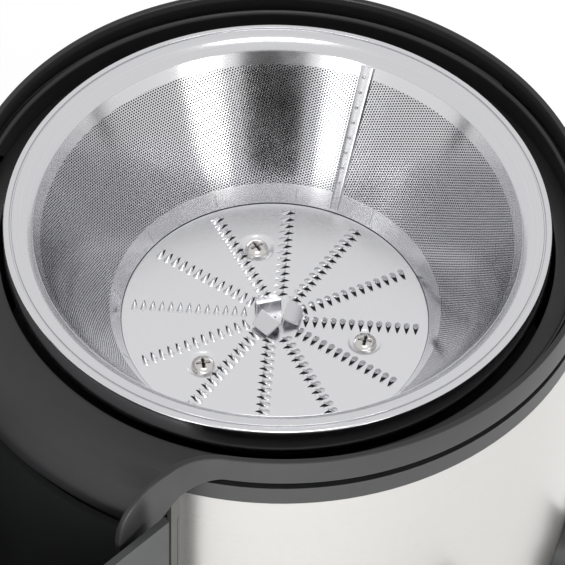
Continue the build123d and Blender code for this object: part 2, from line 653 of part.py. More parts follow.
def shaft_seal():
    """Lip seal in the deck's boss."""
    seal = ring(9.2, 4.6, DECK_Z + 0.5, DECK_Z + 6.0) - ring(7.6, 5.6, DECK_Z + 0.4, DECK_Z + 4.0)
    return seal - rod(SHAFT_R + RUNNING_CLEARANCE, DECK_Z, DECK_Z + 9)


def bowl_gasket():
    """Rubber ring on the deck under the bowl's middle tube."""
    return ring(18.0, 14.4, DECK_Z + 3.0, DECK_Z + 8.3)


# ---- Controls -----------------------------------------------------------------------
def speed_switch():
    """Rotary switch behind the front wall, with its mounting bush."""
    body = slab(-17, 17, -88.0, -66.0, KNOB_Z - 17, KNOB_Z + 17)
    body += Pos(0, -92.0, KNOB_Z) * Rot(90, 0, 0) * Cylinder(5.6, 9.0)
    body -= Pos(0, -90.0, KNOB_Z) * Rot(90, 0, 0) * Cylinder(3.0 + RUNNING_CLEARANCE, 30.0)
    return Rot(0, 0, KNOB_TURN) * body


def dial_ring():
    """Escutcheon round the knob, shaped to the sleeve, with a tick at each of its stops."""
    plate = Pos(0, -SLEEVE_R - 0.5, KNOB_Z) * Rot(90, 0, 0) * Cylinder(KNOB_R + 7.0, 7.0)
    plate -= rod(SLEEVE_R + 0.05, 0, 200)
    plate -= Pos(0, -SLEEVE_R - 6, KNOB_Z) * Rot(90, 0, 0) * Cylinder(KNOB_R + 0.8, 10.0)
    plate -= Pos(0, -SLEEVE_R, KNOB_Z) * Rot(90, 0, 0) * Cylinder(6.2, 30.0)
    ticks = []
    for angle in (-45, 0, 45):
        tick = Rot(0, angle, 0) * Pos(0, 0, KNOB_R + 3.9) * Box(1.2, 0.8, 3.4)
        ticks.append(Pos(0, -SLEEVE_R - 4.0, KNOB_Z) * tick)
    return Rot(0, 0, KNOB_TURN) * (plate - ticks)


def speed_knob():
    """Round knob with a grip bar and a stub shaft."""
    face = -SLEEVE_R
    knob = Pos(0, face - 9.3, KNOB_Z) * Rot(90, 0, 0) * Cylinder(KNOB_R, 9.0)
    knob = chamfer(knob.edges().filter_by(GeomType.CIRCLE).group_by(Axis.Y)[0], 1.4)
    bar = Pos(0, face - 14.5, KNOB_Z) * Rot(0, 45, 0) * Box(7.0, 12.0, 2 * KNOB_R - 2.6)
    bar = fillet(bar.edges().group_by(Axis.Y)[0], 1.6)
    knob += bar
    knob += Pos(0, face + 1.6, KNOB_Z) * Rot(90, 0, 0) * Cylinder(3.0, 25.0)
    mark = Pos(0, face - 20.4, KNOB_Z) * Rot(0, -45, 0) * Pos(0, 0, KNOB_R - 7.0) * Box(1.4, 1.0, 7.0)
    return Rot(0, 0, KNOB_TURN) * (knob - mark)


def control_board():
    """Circuit board beside the motor, with its power parts."""
    board = slab(-26, 26, 60.0, 61.6, 84, 138)
    pieces = [slab(-18, -4, 61.6, 74, 92, 104), slab(4, 16, 61.6, 72, 96, 116)]
    pieces += [Pos(12, 67, 126) * Rot(90, 0, 0) * Cylinder(5.0, 10.8)]
    pieces += [slab(-20, -8, 61.6, 70, 116, 128)]
    return board + pieces


def board_brackets():
    """Two rails that carry the board on the housing's wall."""
    rails = []
    for side in (-1, 1):
        x = side * 29.0
        rail = slab(x - 3, x + 3, 58.0, 89.4, 82, 140)
        rail -= slab(side * 29.0 - side * 3 - 1.2, side * 29.0 - side * 3 + 1.2, 59.9, 61.7, 80, 142)
        rails.append(rail)
    return group(rails)


def interlock_switch():
    """Microswitch behind the sleeve that senses the closed front clamp."""
    body = slab(-10, 10, -94.0, -84.0, 140, 152)
    return body + slab(-2, 2, -94.6, -93.9, 144, 148)


# ---- Locking clamps -----------------------------------------------------------------
def clamp_bracket(side):
    """Pair of ears with a foot that screws to the housing through the sleeve."""
    foot = slab(-4.6, 4.6, SLEEVE_R - 4.0, SLEEVE_R + 0.2, CLAMP_PIVOT_Z - 3.6, CLAMP_PIVOT_Z + 3.6)
    plate = slab(-14, 14, SLEEVE_R - 1.5, SLEEVE_R + 0.6, CLAMP_PIVOT_Z - 11, CLAMP_PIVOT_Z + 11)
    bracket = foot + (plate - rod(SLEEVE_R + 0.05, 0, 300))
    for x in (-11.0, 11.0):
        ear = slab(x - 2.4, x + 2.4, SLEEVE_R - 0.6, CLAMP_PIVOT_Y, CLAMP_PIVOT_Z - 5, CLAMP_PIVOT_Z + 5)
        ear += Pos(x, CLAMP_PIVOT_Y, CLAMP_PIVOT_Z) * Rot(0, 90, 0) * Cylinder(5.0, 4.8)
        bracket += ear - rod(SLEEVE_R + 0.05, 0, 300)
    hole = Pos(0, CLAMP_PIVOT_Y, CLAMP_PIVOT_Z) * Rot(0, 90, 0) * Cylinder(1.8, 40.0)
    bracket -= hole
    return bracket if side > 0 else Rot(0, 0, 180) * bracket


def clamp_pin(side):
    """Steel pin through the ears."""
    pin = Pos(0, side * CLAMP_PIVOT_Y, CLAMP_PIVOT_Z) * Rot(0, 90, 0) * Cylinder(1.8, 26.8)
    return pin


def clamp(side):
    """Locking arm, hanging open: an eye, a bowed strap and a hook that faces outwards."""
    y, z = CLAMP_PIVOT_Y, CLAMP_PIVOT_Z
    tip = z - CLAMP_REACH
    side_view = [(y - 3.4, z - 2.0), (y + 0.4, z + 3.0), (y + 3.4, z - 2.0), (y + 1.6, z - 16)]
    side_view += [(y + 1.2, tip + 14), (y + 3.0, tip + 3.0), (y + 10.4, tip), (y + 10.4, tip - 5.4)]
    side_view += [(y + 2.0, tip - 4.6), (y - 1.2, tip - 2.0), (y - 2.8, tip + 14), (y - 2.2, z - 16)]
    outline = Plane.YZ * make_face(Polyline(*side_view, close=True))
    strap = extrude(outline, 13.0, both=True)
    strap -= slab(8.4, 20, y - 10, y + 10, z - 6.4, z + 8) + slab(-20, -8.4, y - 10, y + 10, z - 6.4, z + 8)
    strap += Pos(0, y, z) * Rot(0, 90, 0) * Cylinder(4.4, 16.8)
    strap -= Pos(0, y, z) * Rot(0, 90, 0) * Cylinder(1.8 + RUNNING_CLEARANCE, 40.0)
    for x in (-6, 0, 6):
        strap += slab(x - 0.8, x + 0.8, y - 3.6, y - 2.0, tip + 16, tip + 38)
    return strap if side > 0 else Rot(0, 0, 180) * strap


# ---- Pulp container -----------------------------------------------------------------
def container_plan(inset):
    """Plan outline of the container, its front hollowed to nest round the housing."""
    half = CONTAINER_HALF_WIDTH - inset
    reach = CONTAINER_REACH - inset
    front = CONTAINER_FRONT + inset
    length = reach - front
    block = Pos(-front - length / 2, 0) * Rectangle(length, 2 * half)
    far = [v for v in block.vertices() if v.X < -reach + 1]
    block = fillet(far, 52.0 - inset)
    return block - Circle(CONTAINER_HOLLOW_R + inset)


def edge_line():
    """Side outline of everything above the container's upper edge."""
    z = CONTAINER_EDGE_Z
    points = [(-240, z), (-124, z), (-114, z + 2.6), (-104, z + 8.0), (-82, z + 18.6)]
    points += [(-40, z + 38.0), (-40, 300), (-240, 300)]
    return across(points, 200)


def pulp_container():
    """Deep open tub with a sloping shoulder, a finger rim at the back and a low front wall."""
    outer = upright(container_plan(0), CONTAINER_FOOT, 236.0)
    inner = upright(container_plan(CONTAINER_WALL), CONTAINER_FOOT + CONTAINER_WALL, 240.0)
    tub = outer - inner - edge_line()
    low = slab(-130, -60, -(CONTAINER_HALF_WIDTH - CONTAINER_WALL), CONTAINER_HALF_WIDTH - CONTAINER_WALL,
               CONTAINER_FRONT_WALL_TOP, 260)
    tub -= low
    z = CONTAINER_EDGE_Z
    far_plan = container_plan(-GRIP_REACH)
    grip = upright(far_plan - container_plan(0), z - 12.0, z - 9.0)
    lip = upright(far_plan - container_plan(-1.8), z - 22.0, z - 9.0)
    return tub + ((grip + lip) & slab(-260, -180, -44, 44, 100, 260))


node_makers = {
    "basket_rim": basket_rim, "basket_mesh": basket_mesh, "basket_hub": basket_hub,
    "cutting_disc": cutting_disc, "disc_screws": disc_screws,
    "juice_bowl": juice_bowl, "juice_spout": juice_spout, "bowl_gasket": bowl_gasket,
    "housing": housing, "housing_collar": housing_collar, "steel_sleeve": steel_sleeve,
    "dock_panel": dock_panel, "plinth": plinth, "bottom_cover": bottom_cover,
    "cover_screws": cover_screws, "rubber_feet": rubber_feet,
    "cord_inlet": cord_inlet, "cord_clamp": cord_clamp,
    "motor_stator": motor_stator, "field_coils": field_coils,
    "upper_bracket": upper_bracket, "lower_bracket": lower_bracket,
    "upper_bearing": upper_bearing, "lower_bearing": lower_bearing,
    "motor_spacers": motor_spacers, "motor_bolts": motor_bolts, "motor_mounts": motor_mounts,
    "brush_holders": brush_holders, "carbon_brushes": carbon_brushes,
    "motor_shaft": motor_shaft, "armature_core": armature_core,
    "armature_windings": armature_windings, "commutator": commutator,
    "cooling_fan": cooling_fan, "drive_coupling": drive_coupling, "shaft_seal": shaft_seal,
    "speed_switch": speed_switch, "dial_ring": dial_ring, "speed_knob": speed_knob,
    "control_board": control_board, "board_brackets": board_brackets,
    "interlock_switch": interlock_switch, "pulp_container": pulp_container,
}
sided_makers = {"clamp": clamp, "clamp_bracket": clamp_bracket, "clamp_pin": clamp_pin}

if __name__ == "__main__":
    os.makedirs("parts", exist_ok=True)
    for name, maker in node_makers.items():
        export_step(Pos(AXIS_X, 0, 0) * maker(), f"parts/{name}.step")
    for name, maker in sided_makers.items():
        for place, side in (("front", -1), ("back", 1)):
            export_step(Pos(AXIS_X, 0, 0) * maker(side), f"parts/{place}_{name}.step")
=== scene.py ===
"""A centrifugal juicer with its lid off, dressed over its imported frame.

Lengths in this file are millimetres about the motor's axis, +Z up, until put_together()
turns them into metres and moves them to the row's frame.
"""
import json
from math import cos, pi, radians, sin

import bpy
import numpy as np
from mathutils import Matrix, Vector


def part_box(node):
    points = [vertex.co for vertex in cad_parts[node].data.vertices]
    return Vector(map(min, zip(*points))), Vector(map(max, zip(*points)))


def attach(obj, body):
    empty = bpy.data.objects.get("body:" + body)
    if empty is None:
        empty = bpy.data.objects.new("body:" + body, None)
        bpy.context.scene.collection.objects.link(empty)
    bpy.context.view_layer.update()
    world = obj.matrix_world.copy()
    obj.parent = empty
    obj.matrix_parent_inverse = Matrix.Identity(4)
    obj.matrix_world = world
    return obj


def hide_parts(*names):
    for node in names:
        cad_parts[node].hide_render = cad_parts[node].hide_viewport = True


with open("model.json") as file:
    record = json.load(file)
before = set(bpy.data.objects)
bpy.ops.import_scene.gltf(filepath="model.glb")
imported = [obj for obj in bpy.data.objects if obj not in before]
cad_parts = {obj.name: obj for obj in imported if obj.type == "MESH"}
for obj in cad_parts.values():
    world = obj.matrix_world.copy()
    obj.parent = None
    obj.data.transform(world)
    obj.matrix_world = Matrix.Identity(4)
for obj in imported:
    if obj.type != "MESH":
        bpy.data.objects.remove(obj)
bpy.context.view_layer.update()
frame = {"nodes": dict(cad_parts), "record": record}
nodes = frame["nodes"]

MM = 0.001
rim_low, rim_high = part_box("basket_rim")
AXIS_X = (rim_low[0] + rim_high[0]) / 2 / MM      # the motor's axis in the row's frame
BASKET_TOP = rim_high[2] / MM
TURN = 2 * pi

HOLE_PITCH = 0.93               # between the holes of the filter sheet
HOLE_SHARE = 0.31               # a hole's radius over that pitch
SIEVE_LOW, SIEVE_HIGH = 0.1996, 0.2330      # metres, the holes lie between these heights


# ---- Making meshes from grids of points ---------------------------------------------
def rounded(corners, radii, steps=5):
    """Outline with its corners rounded: each corner becomes an arc that leaves both of its
    sides at the given radius, kept under half the shorter side, drawn as a quadratic through the
    corner."""
    corners = np.asarray(corners, float)
    radii = np.broadcast_to(radii, len(corners))
    before = np.roll(corners, 1, axis=0) - corners
    after = np.roll(corners, -1, axis=0) - corners
    reach = np.minimum(np.linalg.norm(before, axis=1), np.linalg.norm(after, axis=1)) * 0.49
    back = np.minimum(radii, reach)[:, None]
    start = corners + before / np.linalg.norm(before, axis=1)[:, None] * back
    end = corners + after / np.linalg.norm(after, axis=1)[:, None] * back
    t = np.linspace(0, 1, steps)[None, :, None]
    arcs = (1 - t) ** 2 * start[:, None] + 2 * t * (1 - t) * corners[:, None] + t ** 2 * end[:, None]
    return arcs.reshape(-1, 2)


def spun(outline, steps=192):
    """Closed outline of (radius, height) turned once about Z: x = r cos a, y = r sin a."""
    outline = np.asarray(outline, float)
    angle = np.linspace(0, TURN, steps, endpoint=False)
    radius, height = outline[:, :1], outline[:, 1:]
    return np.stack([radius * np.cos(angle), radius * np.sin(angle), height + 0 * angle], axis=2)


def grid_faces(rows, columns, close_rows, close_columns, first):
    """Index quads of a grid, wrapped where it closes on itself."""
    i = np.arange(rows if close_rows else rows - 1)[:, None]
    j = np.arange(columns if close_columns else columns - 1)[None, :]
    down, along = (i + 1) % rows, (j + 1) % columns
    quads = [i * columns + j, down * columns + j, down * columns + along, i * columns + along]
    return np.stack([q + 0 * (i + j) for q in quads], axis=2).reshape(-1, 4) + first


def volume_of(points, quads):
    """Signed volume under a set of quads: the sum of the tetrahedra on their halves."""
    a, b, c, d = (points[quads[:, k]] for k in range(4))
    return (np.cross(a, b) * c).sum() + (np.cross(a, c) * d).sum()


def put_together(name, grids, body, material, stands_for=(), crease=38, pattern=None):
    """One piece from several closed grids. Each grid is (points, ends): its rows close on
    themselves, and its columns close too, or are capped flat where ends is "capped"."""
    points, quads, caps, first = [], [], [], 0
    for block, ends in grids:
        rows, columns = block.shape[:2]
        faces = grid_faces(rows, columns, True, ends == "closed", 0)
        flat = block.reshape(-1, 3)
        centre = flat.mean(axis=0)
        inside_out = volume_of(flat - centre, faces) < 0
        if inside_out:
            faces = faces[:, ::-1]
        quads.append(faces + first)
        if ends == "capped":
            rim = np.arange(rows) * columns + first
            near, far = rim.tolist(), (rim + columns - 1).tolist()
            caps += [near[::-1], far] if inside_out else [near, far[::-1]]
        points.append(flat)
        first += len(flat)
    points = (np.concatenate(points) + [AXIS_X, 0, 0]) * MM
    mesh = bpy.data.meshes.new(name)
    mesh.from_pydata(points.tolist(), [], np.concatenate(quads).tolist() + caps)
    if pattern is not None:
        layer = mesh.uv_layers.new(name="pattern")
        layer.data.foreach_set("uv", pattern.astype(np.float32).ravel())
    mesh.validate()
    mesh.shade_smooth()
    mesh.set_sharp_from_angle(angle=radians(crease))
    piece = bpy.data.objects.new(name, mesh)
    bpy.context.scene.collection.objects.link(piece)
    mesh.materials.append(material)
    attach(piece, body)
    if stands_for:
        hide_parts(*stands_for)
    return piece


def turned_about_z(points, angle):
    """Points turned about Z: x' = x cos a - y sin a, y' = x sin a + y cos a."""
    c, s = cos(angle), sin(angle)
    return points @ np.array([[c, s, 0], [-s, c, 0], [0, 0, 1]])


# ---- Shared effects -----------------------------------------------------------------
class Graph:
    """Small helper that adds nodes to a tree and links what it is given."""

    def __init__(self, tree):
        self.tree = tree

    def add(self, kind, **settings):
        made = self.tree.nodes.new(kind)
        for key, value in settings.items():
            setattr(made, key, value)
        return made

    def feed(self, socket, value):
        if isinstance(value, bpy.types.NodeSocket):
            self.tree.links.new(value, socket)
        else:
            socket.default_value = value

    def calc(self, operation, *values):
        made = self.add("ShaderNodeMath", operation=operation)
        for socket, value in zip(made.inputs, values):
            self.feed(socket, value)
        return made.outputs[0]

    def vector(self, x, y, z):
        made = self.add("ShaderNodeCombineXYZ")
        for socket, value in zip(made.inputs, (x, y, z)):
            self.feed(socket, value)
        return made.outputs[0]

    def noise(self, vector, scale, detail=2.0, roughness=0.5):
        made = self.add("ShaderNodeTexNoise")
        self.feed(made.inputs["Vector"], vector)
        self.feed(made.inputs["Scale"], scale)
        made.inputs["Detail"].default_value = detail
        made.inputs["Roughness"].default_value = roughness
        return made.outputs["Fac"]

    def span(self, value, low, high, to_low, to_high):
        made = self.add("ShaderNodeMapRange", clamp=True)
        for key, v in (("Value", value), ("From Min", low), ("From Max", high),
                       ("To Min", to_low), ("To Max", to_high)):
            self.feed(made.inputs[key], v)
        return made.outputs["Result"]

    def blend(self, factor, first, second):
        made = self.add("ShaderNodeMix", data_type="RGBA")
        self.feed(made.inputs[0], factor)
        self.feed(made.inputs[6], first)
        self.feed(made.inputs[7], second)
        return made.outputs[2]


def effect(name, inputs, outputs):
    """An empty node group with named number, vector or colour sockets."""
    tree = bpy.data.node_groups.new(name, "ShaderNodeTree")
    kinds = {"value": "NodeSocketFloat", "vector": "NodeSocketVector", "colour": "NodeSocketColor"}
    for key, kind in inputs.items():
        tree.interface.new_socket(key, in_out="INPUT", socket_type=kinds[kind])
    for key, kind in outputs.items():
        tree.interface.new_socket(key, in_out="OUTPUT", socket_type=kinds[kind])
    graph = Graph(tree)
    return graph, graph.add("NodeGroupInput").outputs, graph.add("NodeGroupOutput").inputs


def make_moulded_grain():
    """Moulded skin: a fine pebble height, and a slow drift of gloss from handling."""
    graph, given, out = effect("moulded grain", {"Fineness": "value", "Gloss": "value",
                               "Drift": "value"}, {"Height": "value", "Roughness": "value"})
    place = graph.add("ShaderNodeTexCoord").outputs["Object"]
    pebble = graph.noise(place, given["Fineness"], 3.0, 0.6)
    patches = graph.noise(place, 22.0, 4.0, 0.6)
    graph.feed(out["Height"], pebble)
    drift = graph.calc("MULTIPLY", graph.calc("SUBTRACT", patches, 0.5), given["Drift"])
    graph.feed(out["Roughness"], graph.calc("ADD", given["Gloss"], drift))
    return graph.tree


def make_turning_marks():
    """Lines left by a tool that goes round Z: noise that is fine across radius and height
    and long along the angle."""
    graph, given, out = effect("turning marks", {"Fineness": "value", "Gloss": "value",
                               "Depth": "value"}, {"Height": "value", "Roughness": "value"})
    place = graph.add("ShaderNodeTexCoord").outputs["Object"]
    shift = graph.add("ShaderNodeVectorMath", operation="SUBTRACT")
    graph.feed(shift.inputs[0], place)
    shift.inputs[1].default_value = (AXIS_X * MM, 0.0, 0.0)
    parts = graph.add("ShaderNodeSeparateXYZ")
    graph.feed(parts.inputs[0], shift.outputs[0])
    x, y, z = parts.outputs
    radius = graph.calc("SQRT", graph.calc("ADD", graph.calc("MULTIPLY", x, x),
                                           graph.calc("MULTIPLY", y, y)))
    angle = graph.calc("ARCTAN2", y, x)
    fine = graph.vector(graph.calc("MULTIPLY", radius, given["Fineness"]),
                        graph.calc("MULTIPLY", z, given["Fineness"]), angle)
    lines = graph.noise(fine, 1.0, 4.0, 0.7)
    graph.feed(out["Height"], lines)
    spread = graph.calc("MULTIPLY", graph.calc("SUBTRACT", lines, 0.5), given["Depth"])
    graph.feed(out["Roughness"], graph.calc("ADD", given["Gloss"], spread))
    return graph.tree


def make_perforation():
    """Staggered round holes on the piece's own flat pattern, one unit to a hole, kept
    between two heights: 1 in a hole, 0 on the metal."""
    graph, given, out = effect("perforation", {"Hole": "value", "Lowest": "value",
                               "Highest": "value"}, {"Mask": "value"})
    parts = graph.add("ShaderNodeSeparateXYZ")
    graph.feed(parts.inputs[0], graph.add("ShaderNodeUVMap", uv_map="pattern").outputs[0])
    across, along = parts.outputs[0], graph.calc("MULTIPLY", parts.outputs[1], 1.1547)
    row = graph.calc("FLOOR", along)
    stagger = graph.calc("MULTIPLY", graph.calc("FLOORED_MODULO", row, 2.0), 0.5)
    u = graph.calc("SUBTRACT", graph.calc("FRACT", graph.calc("ADD", across, stagger)), 0.5)
    v = graph.calc("MULTIPLY", graph.calc("SUBTRACT", graph.calc("FRACT", along), 0.5), 0.866)
    away = graph.calc("SQRT", graph.calc("ADD", graph.calc("MULTIPLY", u, u),
                                         graph.calc("MULTIPLY", v, v)))
    hole = graph.calc("LESS_THAN", away, given["Hole"])
    height = graph.add("ShaderNodeSeparateXYZ")
    graph.feed(height.inputs[0], graph.add("ShaderNodeTexCoord").outputs["Object"])
    z = height.outputs[2]
    inside = graph.calc("MULTIPLY", graph.calc("GREATER_THAN", z, given["Lowest"]),
                        graph.calc("LESS_THAN", z, given["Highest"]))
    graph.feed(out["Mask"], graph.calc("MULTIPLY", hole, inside))
    return graph.tree


GRAIN = make_moulded_grain()
TURNING = make_turning_marks()
HOLES = make_perforation()


def finish(name, colour, metallic=0.0):
    """A material with a plain shader, ready for its effects."""
    material = bpy.data.materials.new(name)
    material.use_nodes = True
    shader = material.node_tree.nodes["Principled BSDF"]
    shader.inputs["Base Color"].default_value = (*colour, 1.0)
    shader.inputs["Metallic"].default_value = metallic
    return material, Graph(material.node_tree), shader


def placed(graph, group, **values):
    """A shared effect placed in a material with its own values."""
    made = graph.add("ShaderNodeGroup", node_tree=group)
    for key, value in values.items():
        graph.feed(made.inputs[key], value)
    return made.outputs


def raise_skin(graph, shader, height, distance, strength=1.0):
    """Bump on the shader's Normal, with its depth in metres."""
    bump = graph.add("ShaderNodeBump")
    bump.inputs["Distance"].default_value = distance
    bump.inputs["Strength"].default_value = strength
    graph.feed(bump.inputs["Height"], height)
    graph.feed(shader.inputs["Normal"], bump.outputs[0])


def moulded(name, colour, gloss=0.42, fineness=2600.0, depth=0.00003):
    """Satin moulding with pebble grain, and paler scuffs where the slow noise is high."""
    material, graph, shader = finish(name, colour)
    grain = placed(graph, GRAIN, Fineness=fineness, Gloss=gloss, Drift=0.12)
    graph.feed(shader.inputs["Roughness"], grain["Roughness"])
    place = graph.add("ShaderNodeTexCoord").outputs["Object"]
    cloud = graph.span(graph.noise(place, 9.0, 5.0, 0.65), 0.45, 0.75, 0.0, 1.0)
    paler = tuple(min(1.0, c * 1.35 + 0.002) for c in colour)
    graph.feed(shader.inputs["Base Color"], graph.blend(cloud, (*colour, 1), (*paler, 1)))
    raise_skin(graph, shader, grain["Height"], depth, 0.6)
    return material


def turned_metal(name, colour, gloss, fineness=9000.0, depth=0.12, cut=0.000004, tint=0.04):
    """Machined or brushed metal with marks that run round the axis."""
    material, graph, shader = finish(name, colour, metallic=1.0)
    marks = placed(graph, TURNING, Fineness=fineness, Gloss=gloss, Depth=depth)
    graph.feed(shader.inputs["Roughness"], marks["Roughness"])
    darker = tuple(c * (1 - tint * 3) for c in colour)
    shade = graph.span(marks["Height"], 0.3, 0.7, 0.0, 1.0)
    graph.feed(shader.inputs["Base Color"], graph.blend(shade, (*darker, 1), (*colour, 1)))
    raise_skin(graph, shader, marks["Height"], cut, 0.5)
    return material


def sieve_metal():
    """Rolled steel sheet with its fine holes: painted shade near black, dull and sunk where the mask is
    1.
    """
    material, graph, shader = finish("filter sheet", (0.80, 0.80, 0.82), metallic=1.0)
    mask = placed(graph, HOLES, Hole=HOLE_SHARE, Lowest=SIEVE_LOW, Highest=SIEVE_HIGH)["Mask"]
    place = graph.add("ShaderNodeTexCoord").outputs["Object"]
    haze = graph.span(graph.noise(place, 60.0, 3.0, 0.6), 0.3, 0.7, 0.13, 0.20)
    # Painted shade: the holes get a near-black colour for the dark seen through them; no hole is cut.
    graph.feed(shader.inputs["Base Color"],
               graph.blend(mask, (0.80, 0.80, 0.82, 1), (0.006, 0.006, 0.007, 1)))
    dull = graph.calc("MULTIPLY", mask, 0.9)
    graph.feed(shader.inputs["Roughness"], graph.calc("MAXIMUM", haze, dull))
    raise_skin(graph, shader, graph.calc("SUBTRACT", 1.0, mask), 0.00003, 0.2)
    return material


# ---- Finishes -----------------------------------------------------------------------
sheet_steel = turned_metal("basket steel", (0.78, 0.78, 0.80), 0.17, 12000.0, 0.08)
disc_steel = turned_metal("disc steel", (0.82, 0.82, 0.84), 0.24, 16000.0, 0.06, 0.000001, 0.01)
tooth_steel = turned_metal("punched tooth steel", (0.74, 0.74, 0.76), 0.20, 16000.0, 0.05)
screw_steel = turned_metal("screw steel", (0.72, 0.70, 0.68), 0.24, 20000.0, 0.08)
wrap_steel = turned_metal("brushed sleeve steel", (0.60, 0.59, 0.57), 0.30, 26000.0, 0.20, 0.000006)
filter_sheet = sieve_metal()
bowl_black = moulded("bowl black", (0.013, 0.013, 0.014), 0.38)
base_black = moulded("base black", (0.015, 0.015, 0.016), 0.42, 2000.0, 0.00005)
dock_grey = moulded("dock dark grey", (0.030, 0.031, 0.026), 0.40)
tub_grey = moulded("container dark grey", (0.024, 0.025, 0.025), 0.42, 2200.0)
hub_black = moulded("hub black", (0.02, 0.02, 0.021), 0.45)
clamp_black = moulded("clamp black", (0.02, 0.02, 0.02), 0.38)
knob_black = moulded("knob black", (0.022, 0.022, 0.024), 0.34)
rubber_black = moulded("foot rubber", (0.018, 0.018, 0.018), 0.72, 1400.0, 0.00008)
# Painted shade: a near-black dull colour laid in the teeth's openings and the screws' cross recesses,
# where shade falls.
hole_shade = moulded("punched hole painted shade", (0.006, 0.006, 0.006), 0.85)
core_steel = turned_metal("stacked laminations", (0.33, 0.33, 0.34), 0.45, 3000.0, 0.2, 0.00002)
copper = turned_metal("copper", (0.80, 0.42, 0.26), 0.30, 6000.0, 0.2)
cast_metal = moulded("cast bracket", (0.45, 0.46, 0.48), 0.5, 900.0, 0.00008)
ground_steel = turned_metal("ground steel", (0.62, 0.62, 0.64), 0.22)
carbon = moulded("carbon", (0.02, 0.02, 0.02), 0.6)
switch_grey = moulded("switch body", (0.10, 0.10, 0.11), 0.5)
board_green = moulded("circuit board", (0.03, 0.14, 0.06), 0.35, 700.0)

SLOT_FINISH = {
    "basket_steel": sheet_steel, "screw_steel": screw_steel, "hub_plastic": hub_black,
    "bowl_plastic": bowl_black, "body_plastic": base_black, "dock_plastic": dock_grey,
    "sleeve_steel": wrap_steel, "container_plastic": tub_grey, "clamp_plastic": clamp_black,
    "knob_plastic": knob_black, "rubber": rubber_black, "laminations": core_steel,
    "copper": copper, "bracket_metal": cast_metal, "shaft_steel": ground_steel,
    "carbon": carbon, "electrics": switch_grey, "board": board_green,
}


def dress_frame():
    """Gives every node of the frame the finish of its material slot."""
    for entry in frame["record"]["subparts"]:
        mesh = nodes[entry["node"]].data
        mesh.materials.clear()
        mesh.materials.append(SLOT_FINISH[entry["material_slot"]])


# ---- Filter basket ------------------------------------------------------------------
def basket_rim():
    """Turned rim: a rounded outline of (radius, height) with a fine groove, spun about Z."""
    z = BASKET_TOP
    outline = [(84.0, z - 9.0), (84.0, z), (82.1, z), (81.9, z - 0.8), (81.5, z - 0.8), (81.3, z),
               (79.2, z - 0.1), (77.2, z - 1.2), (75.4, z - 3.0), (74.9, z - 3.6), (75.6, z - 4.4),
               (81.2, z - 5.0), (82.8, z - 6.4), (82.8, z - 9.0)]
    radii = [0.2, 0.9, 0.2, 0.1, 0.1, 0.2, 1.2, 1.2, 0.5, 0.3, 0.5, 0.8, 0.5, 0.2]
    put_together("filter_basket_rim", [(spun(rounded(outline, radii, 4), 240), "closed")],
                 "basket", sheet_steel, ["basket_rim"], 50)


CONE_TOP = (74.95, BASKET_TOP - 3.4)
CONE_FOOT = (48.45, BASKET_TOP - 45.9)
SEAM_ANGLE = radians(36.6)
CONE_MIDDLE_R = 62.0
CONE_NORMAL = (-0.85, 0.53)     # out of the inner face: towards the axis, and up


def on_slant(share):
    """(radius, height) on the cone's inner face, a straight line from its foot to its top."""
    return (CONE_FOOT[0] + (CONE_TOP[0] - CONE_FOOT[0]) * share,
            CONE_FOOT[1] + (CONE_TOP[1] - CONE_FOOT[1]) * share)


def basket_cone():
    """Filter cone, a thin wall between two straight slants. Its flat pattern is the cone
    rolled out: distance from the apex is radius / sin(half angle), and the angle shrinks
    by the same sine; one unit of pattern is one hole pitch."""
    outline = np.array([CONE_TOP, CONE_FOOT, (CONE_FOOT[0] + 0.5, CONE_FOOT[1] - 0.1),
                        (CONE_TOP[0] + 0.5, CONE_TOP[1] - 0.3)])
    steps = 240
    points = turned_about_z(spun(outline, steps), SEAM_ANGLE)
    run, rise = CONE_TOP[0] - CONE_FOOT[0], CONE_TOP[1] - CONE_FOOT[1]
    half_sine = run / np.hypot(run, rise)
    i, j = np.meshgrid(np.arange(len(outline)), np.arange(steps), indexing="ij")
    corner_rows = np.stack([i, i + 1, i + 1, i], axis=2) % len(outline)
    corner_turns = np.stack([j, j, j + 1, j + 1], axis=2) * TURN / steps
    slant = outline[:, 0][corner_rows] / half_sine
    rolled = corner_turns * half_sine
    flat = np.stack([slant * np.cos(rolled), slant * np.sin(rolled)], axis=3) / HOLE_PITCH
    quads = grid_faces(len(outline), steps, True, True, 0)
    if volume_of(points.reshape(-1, 3) - points.reshape(-1, 3).mean(axis=0), quads) < 0:
        flat = flat[:, :, ::-1]
    put_together("filter_basket_cone", [(points, "closed")], "basket", filter_sheet,
                 ["basket_mesh"], 30, flat.reshape(-1, 2))


def cone_patch(low, high, half_width, lift, middle, steps=24):
    """A thin strip that lies on the cone's inner face between two fractions of its slant:
    a closed shell whose upper face stands off by lift, thinned to nothing at its edges."""
    s = np.linspace(low, high, steps)[:, None]
    across = np.linspace(-1, 1, 9)
    lifted = lift * (1 - across ** 8)
    section = np.concatenate([across, across[::-1]])
    raised = np.concatenate([lifted, np.full(9, -0.05)])
    radius, height = on_slant(s)
    radius = radius + raised * CONE_NORMAL[0]
    height = height + raised * CONE_NORMAL[1]
    angle = middle + section * half_width / CONE_MIDDLE_R
    block = np.stack([radius * np.cos(angle), radius * np.sin(angle), height + 0 * angle], axis=2)
    return block.transpose(1, 0, 2)


def dome(x, y, z, radius, height, rings=5, steps=16, tilt=None):
    """A low closed cap: height * cos(quarter turn * t) over radius * t, with a flat foot."""
    t = np.concatenate([np.linspace(0.02, 1, rings), [0.02]])
    rise = np.concatenate([height * np.cos(np.linspace(0.02, 1, rings) * pi / 2), [-0.1]])
    angle = np.linspace(0, TURN, steps, endpoint=False)
    block = np.stack([radius * t[:, None] * np.cos(angle), radius * t[:, None] * np.sin(angle),
                      rise[:, None] + 0 * angle], axis=2)
    if tilt is not None:
        block = block @ tilt
    return block + [x, y, z]


